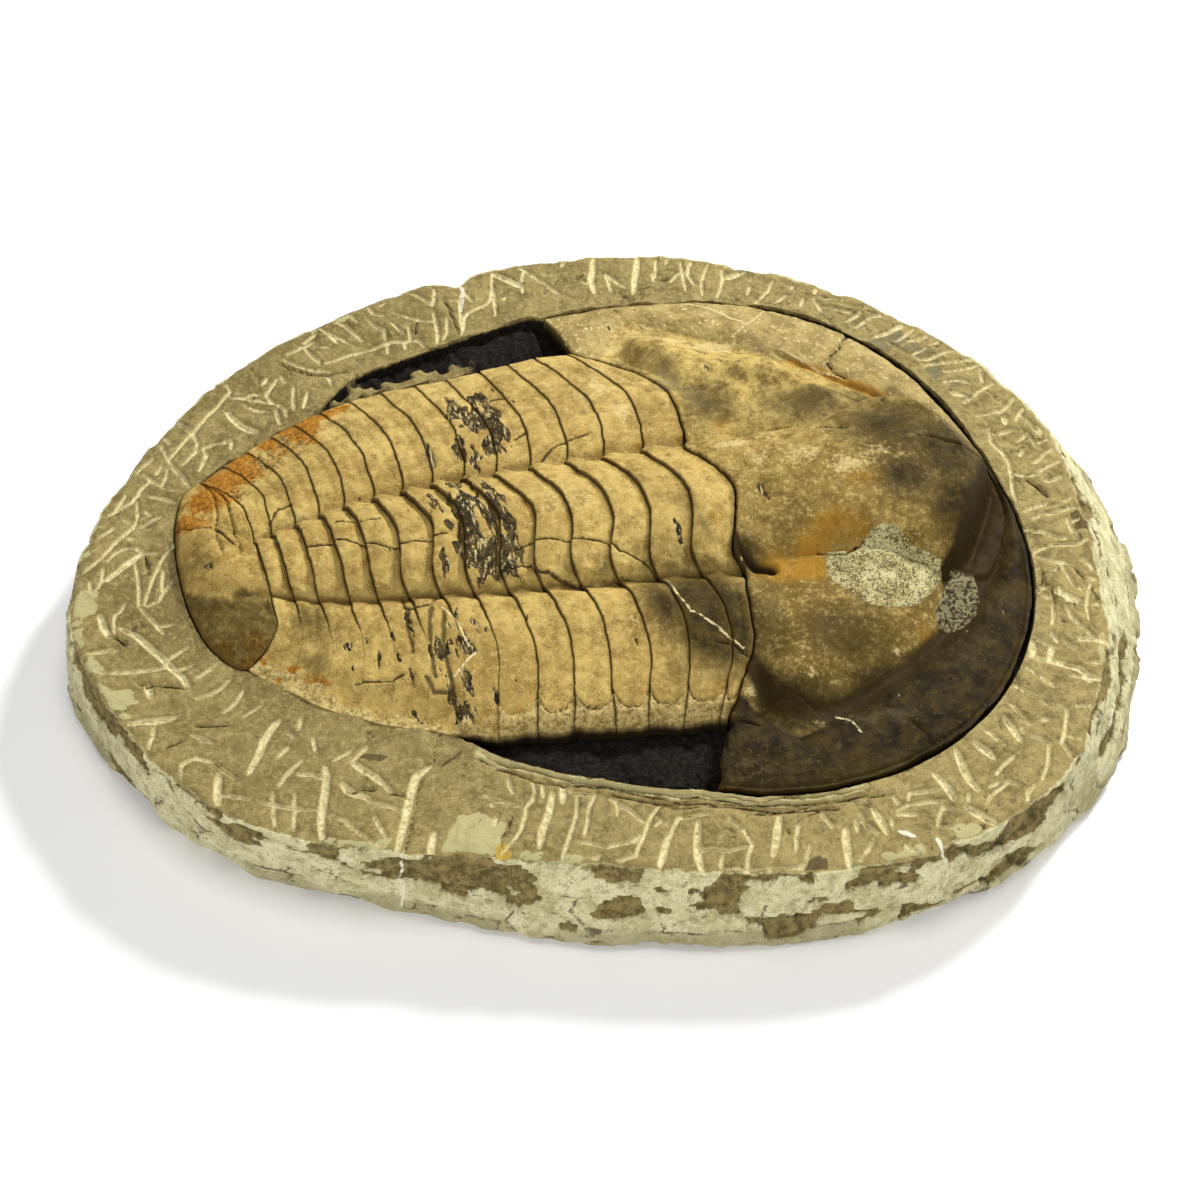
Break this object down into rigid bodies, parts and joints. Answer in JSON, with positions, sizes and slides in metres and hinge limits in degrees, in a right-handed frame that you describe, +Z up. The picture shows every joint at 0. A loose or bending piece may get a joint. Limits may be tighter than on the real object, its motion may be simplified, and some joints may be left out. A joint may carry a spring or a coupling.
{
  "type": "fossil trilobite in a stone slab",
  "caption": "Large fossil trilobite with a domed head shield, ringed body and short tail, lying half raised in a hollow of its chiselled oval slab of mudstone.",
  "frame": {"origin": "middle of the slab's outline box, on its flat underside", "axes": "+X along the slab towards the trilobite's head, +Y towards the far side of the animal, +Z up out of the slab's worked face"},
  "size_m": [0.3895, 0.3105, 0.061],
  "materials": {
    "slab_rock": "matte olive-brown mudstone with pale chisel strokes",
    "head_fossil": "satin dark brown fossil shell",
    "thorax_fossil": "dull ochre-brown fossil shell, darker towards the head",
    "tail_fossil": "dull ochre fossil shell with rust stains"
  },
  "bodies": {
    "root": {"matrix_slab": "slab_rock", "head_shield": "head_fossil", "thorax_segment_01": "thorax_fossil", "thorax_segment_02": "thorax_fossil", "thorax_segment_03": "thorax_fossil", "thorax_segment_04": "thorax_fossil", "thorax_segment_05": "thorax_fossil", "thorax_segment_06": "thorax_fossil", "thorax_segment_07": "thorax_fossil", "thorax_segment_08": "thorax_fossil", "thorax_segment_09": "thorax_fossil", "thorax_segment_10": "thorax_fossil", "thorax_segment_11": "thorax_fossil", "thorax_segment_12": "thorax_fossil", "thorax_segment_13": "thorax_fossil", "thorax_segment_14": "thorax_fossil", "tail_shield": "tail_fossil"}
  },
  "joints": []
}
